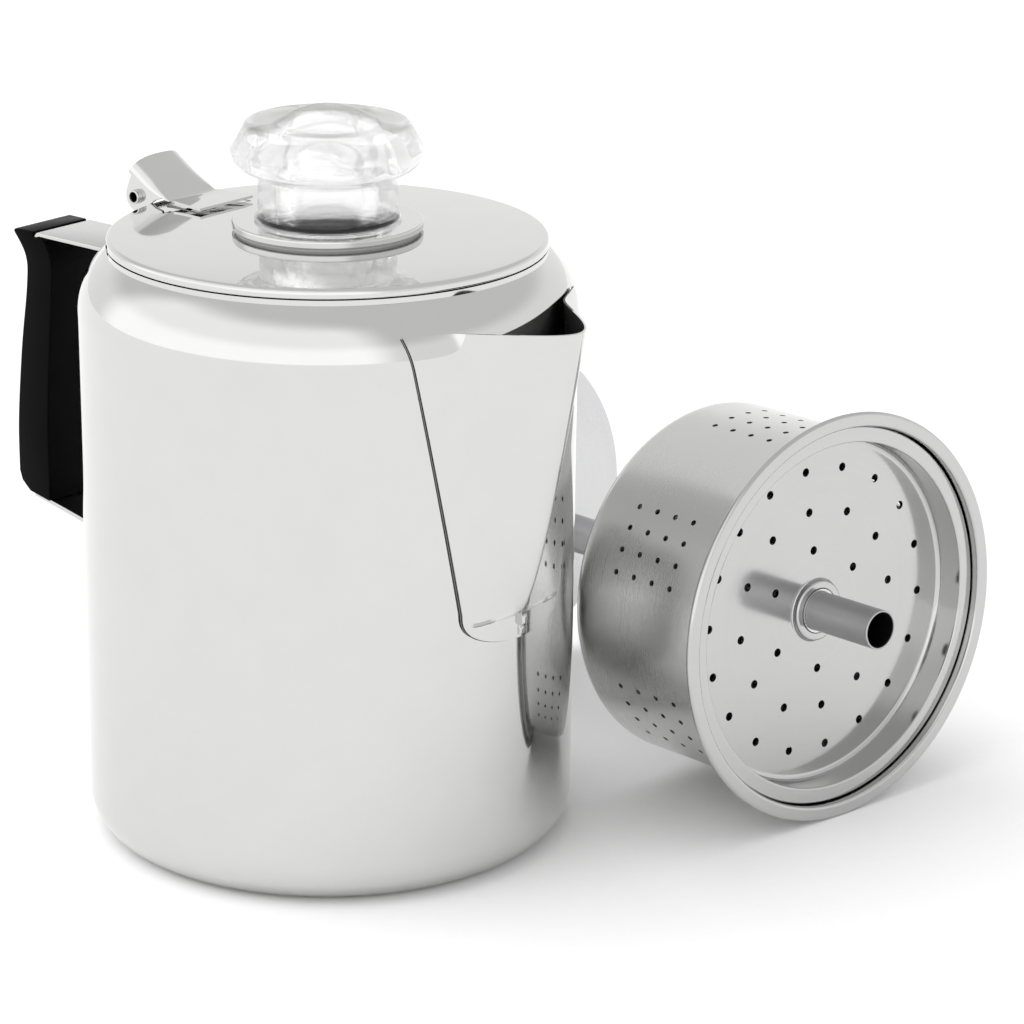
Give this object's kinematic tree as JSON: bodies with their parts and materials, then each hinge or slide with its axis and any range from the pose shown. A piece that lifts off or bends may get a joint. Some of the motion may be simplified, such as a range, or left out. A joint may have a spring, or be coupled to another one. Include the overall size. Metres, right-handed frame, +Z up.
{
  "type": "coffee percolator",
  "caption": "Steel stove-top camping percolator with a folded spout, hinged lid, clear knob and black grip, its basket and stem lying beside it",
  "frame": {"origin": "centre of the pot's base, on the surface it stands on", "axes": "+Z up, +X along the spout, so the hinge and the grip are at -X and the hinge axis lies along Y; the pump assembly lies on the +Y side"},
  "size_m": [0.227, 0.2293, 0.1955],
  "materials": {
    "mirror_steel": "mirror-polished stainless steel",
    "satin_steel": "satin stainless steel, lightly polished",
    "turned_steel": "spun and brushed round its axis",
    "turned_aluminium": "satin drawn and spun aluminium",
    "black_phenolic": "moulded black phenolic, low sheen",
    "clear_acrylic": "clear moulded plastic, glossy",
    "silicone": "grey silicone washer",
    "brass": "turned brass insert"
  },
  "bodies": {
    "pot": {"pot_body": "mirror_steel", "pot_floor": "mirror_steel", "spout": "mirror_steel", "upper_handle_strap": "satin_steel", "lower_handle_strap": "satin_steel", "handle_grip": "black_phenolic", "handle_insert": "brass", "handle_screw": "satin_steel", "hinge_lug": "satin_steel", "hinge_pin": "satin_steel"},
    "lid": {"lid_plate": "mirror_steel", "lid_hinge_leaf": "mirror_steel", "knob_gasket": "silicone", "knob_collar": "mirror_steel"},
    "knob": {"knob": "clear_acrylic", "knob_retainer": "clear_acrylic"},
    "pump": {"stem_tube": "turned_aluminium", "stem_bell": "turned_aluminium", "stem_ferrule": "turned_aluminium", "basket_stop": "turned_aluminium"},
    "basket": {"basket_shell": "turned_steel", "basket_sleeve": "turned_steel"},
    "spreader": {"spreader_plate": "turned_steel"}
  },
  "joints": [
    {"name": "lid_hinge", "type": "hinge", "parent": "pot", "child": "lid", "pos_m": [-0.061, 0, 0.163], "axis": [0, -1, 0], "range_deg": [0, 100]},
    {"name": "knob_turn", "type": "hinge", "parent": "lid", "child": "knob", "pos_m": [0, 0, 0.17], "axis": [0, 0, 1], "range_deg": [0, 90]},
    {"name": "pump_lift", "type": "slide", "parent": "pot", "child": "pump", "axis": [0, 0, 1], "range_m": [0, 0.22]},
    {"name": "basket_slide", "type": "slide", "parent": "pump", "child": "basket", "axis": [0.9842, -0.1718, 0.0419], "range_m": [0, 0.06]},
    {"name": "spreader_lift", "type": "slide", "parent": "basket", "child": "spreader", "axis": [0.9842, -0.1718, 0.0419], "range_m": [0, 0.06]}
  ]
}
